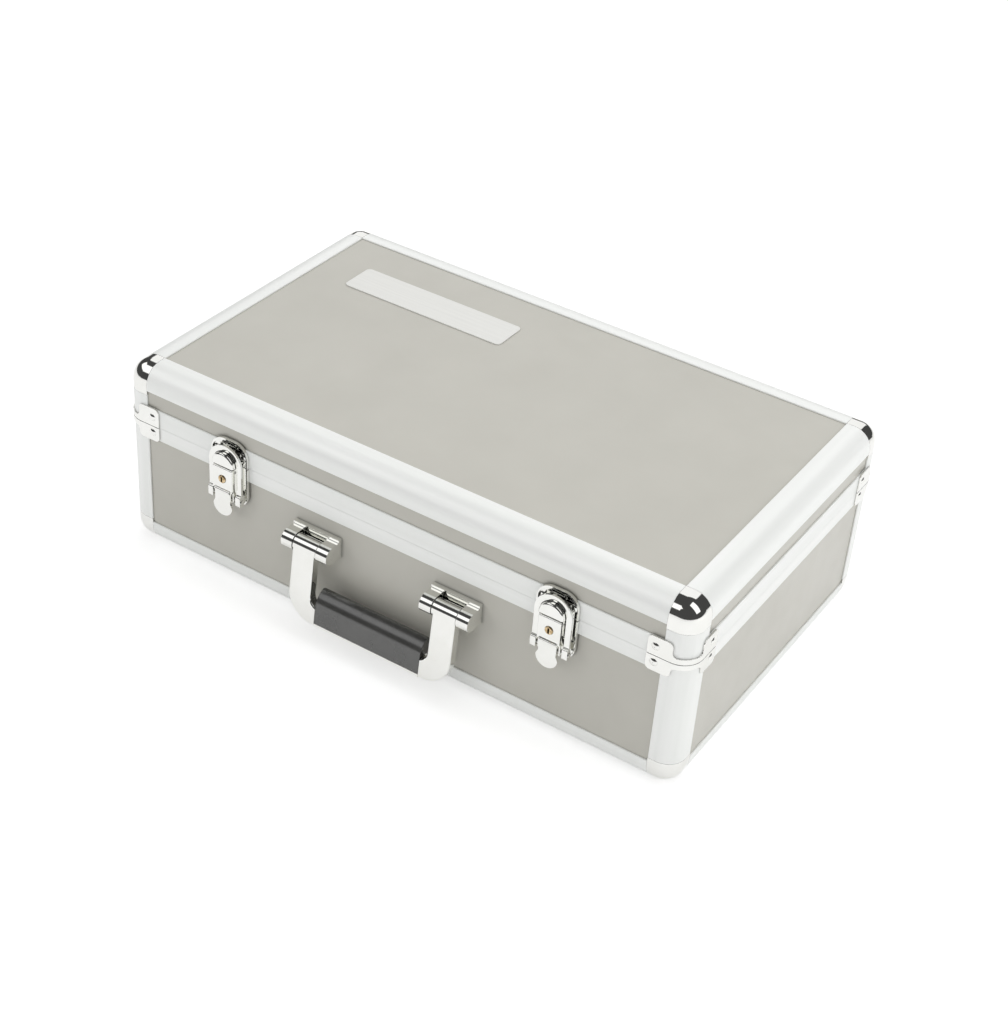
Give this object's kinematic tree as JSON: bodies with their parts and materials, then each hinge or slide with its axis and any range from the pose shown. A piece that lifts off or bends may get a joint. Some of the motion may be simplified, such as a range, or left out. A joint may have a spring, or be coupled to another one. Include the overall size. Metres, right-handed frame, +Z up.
{
  "type": "guitar pedal case",
  "caption": "Aluminium framed carry case with light grey panels, a rear hinged lid, two keyed draw latches, ball corners and a swinging handle.",
  "frame": {"origin": "centre of the case footprint, on the plane that it rests on", "axes": "+X to the right seen from the front, +Y towards the rear hinges, +Z up"},
  "size_m": [0.4846, 0.3151, 0.156],
  "materials": {
    "laminate": "smooth light grey laminate on board",
    "profile_aluminium": "satin anodised extrusion",
    "cap_chrome": "polished plating on a formed corner",
    "fitting_chrome": "bright plated steel",
    "plated_steel": "zinc plated steel",
    "lock_brass": "turned brass plug",
    "grip_rubber": "smooth dark grey rubber",
    "badge_satin": "bare satin plate",
    "foam": "charcoal open cell foam"
  },
  "bodies": {
    "base": {"base_back_panel": "laminate", "base_bottom_panel": "laminate", "base_corner_braces": "fitting_chrome", "base_corner_caps": "cap_chrome", "base_corner_posts": "profile_aluminium", "base_edge_back": "profile_aluminium", "base_edge_front": "profile_aluminium", "base_edge_left": "profile_aluminium", "base_edge_right": "profile_aluminium", "base_floor_pad": "foam", "base_frame_back": "profile_aluminium", "base_frame_front": "profile_aluminium", "base_frame_left": "profile_aluminium", "base_frame_right": "profile_aluminium", "base_front_panel": "laminate", "base_left_panel": "laminate", "base_right_panel": "laminate", "base_rivets": "fitting_chrome", "base_side_lining": "foam", "handle_bolts": "plated_steel", "handle_brackets": "fitting_chrome", "handle_pins": "fitting_chrome", "hinge_base_leaves": "plated_steel", "hinge_pins": "plated_steel", "latch_pins": "plated_steel", "latch_plates": "fitting_chrome"},
    "lid": {"badge_plate": "badge_satin", "hinge_lid_leaves": "plated_steel", "latch_strikes": "fitting_chrome", "lid_back_panel": "laminate", "lid_corner_braces": "fitting_chrome", "lid_corner_caps": "cap_chrome", "lid_corner_posts": "profile_aluminium", "lid_edge_back": "profile_aluminium", "lid_edge_front": "profile_aluminium", "lid_edge_left": "profile_aluminium", "lid_edge_right": "profile_aluminium", "lid_foam_pad": "foam", "lid_frame_back": "profile_aluminium", "lid_frame_front": "profile_aluminium", "lid_frame_left": "profile_aluminium", "lid_frame_right": "profile_aluminium", "lid_front_panel": "laminate", "lid_left_panel": "laminate", "lid_right_panel": "laminate", "lid_rivets": "fitting_chrome", "lid_top_panel": "laminate"},
    "handle": {"handle_arm_left": "fitting_chrome", "handle_arm_right": "fitting_chrome", "handle_bar": "fitting_chrome", "handle_grip": "grip_rubber"},
    "lever_left": {"hasp_pin_left": "fitting_chrome", "latch_lever_left": "fitting_chrome"},
    "hasp_left": {"latch_hasp_left": "fitting_chrome"},
    "lock_left": {"latch_lock_left": "lock_brass"},
    "lever_right": {"hasp_pin_right": "fitting_chrome", "latch_lever_right": "fitting_chrome"},
    "hasp_right": {"latch_hasp_right": "fitting_chrome"},
    "lock_right": {"latch_lock_right": "lock_brass"}
  },
  "joints": [
    {"name": "lid_hinge", "type": "hinge", "parent": "base", "child": "lid", "pos_m": [0, 0.1462, 0.1097], "axis": [-1, 0, 0], "range_deg": [0, 98]},
    {"name": "handle_swing", "type": "hinge", "parent": "base", "child": "handle", "pos_m": [0, -0.1526, 0.076], "axis": [-1, 0, 0], "range_deg": [0, 95]},
    {"name": "latch_lever_left", "type": "hinge", "parent": "base", "child": "lever_left", "pos_m": [-0.1397, -0.1486, 0.1068], "axis": [-1, 0, 0], "range_deg": [0, 80]},
    {"name": "latch_hasp_left", "type": "hinge", "parent": "lever_left", "child": "hasp_left", "pos_m": [-0.1397, -0.1486, 0.0825], "axis": [-1, 0, 0], "range_deg": [-40, 0]},
    {"name": "lock_plug_left", "type": "hinge", "parent": "lever_left", "child": "lock_left", "pos_m": [-0.1397, -0.15, 0.0996], "axis": [0, -1, 0], "range_deg": [0, 90]},
    {"name": "latch_lever_right", "type": "hinge", "parent": "base", "child": "lever_right", "pos_m": [0.1397, -0.1486, 0.1068], "axis": [-1, 0, 0], "range_deg": [0, 80]},
    {"name": "latch_hasp_right", "type": "hinge", "parent": "lever_right", "child": "hasp_right", "pos_m": [0.1397, -0.1486, 0.0825], "axis": [-1, 0, 0], "range_deg": [-40, 0]},
    {"name": "lock_plug_right", "type": "hinge", "parent": "lever_right", "child": "lock_right", "pos_m": [0.1397, -0.15, 0.0996], "axis": [0, 1, 0], "range_deg": [0, 90]}
  ],
  "couplings": [
    {"joint": "latch_hasp_left", "follows": "latch_lever_left", "ratio": -0.5},
    {"joint": "latch_hasp_right", "follows": "latch_lever_right", "ratio": -0.5}
  ]
}
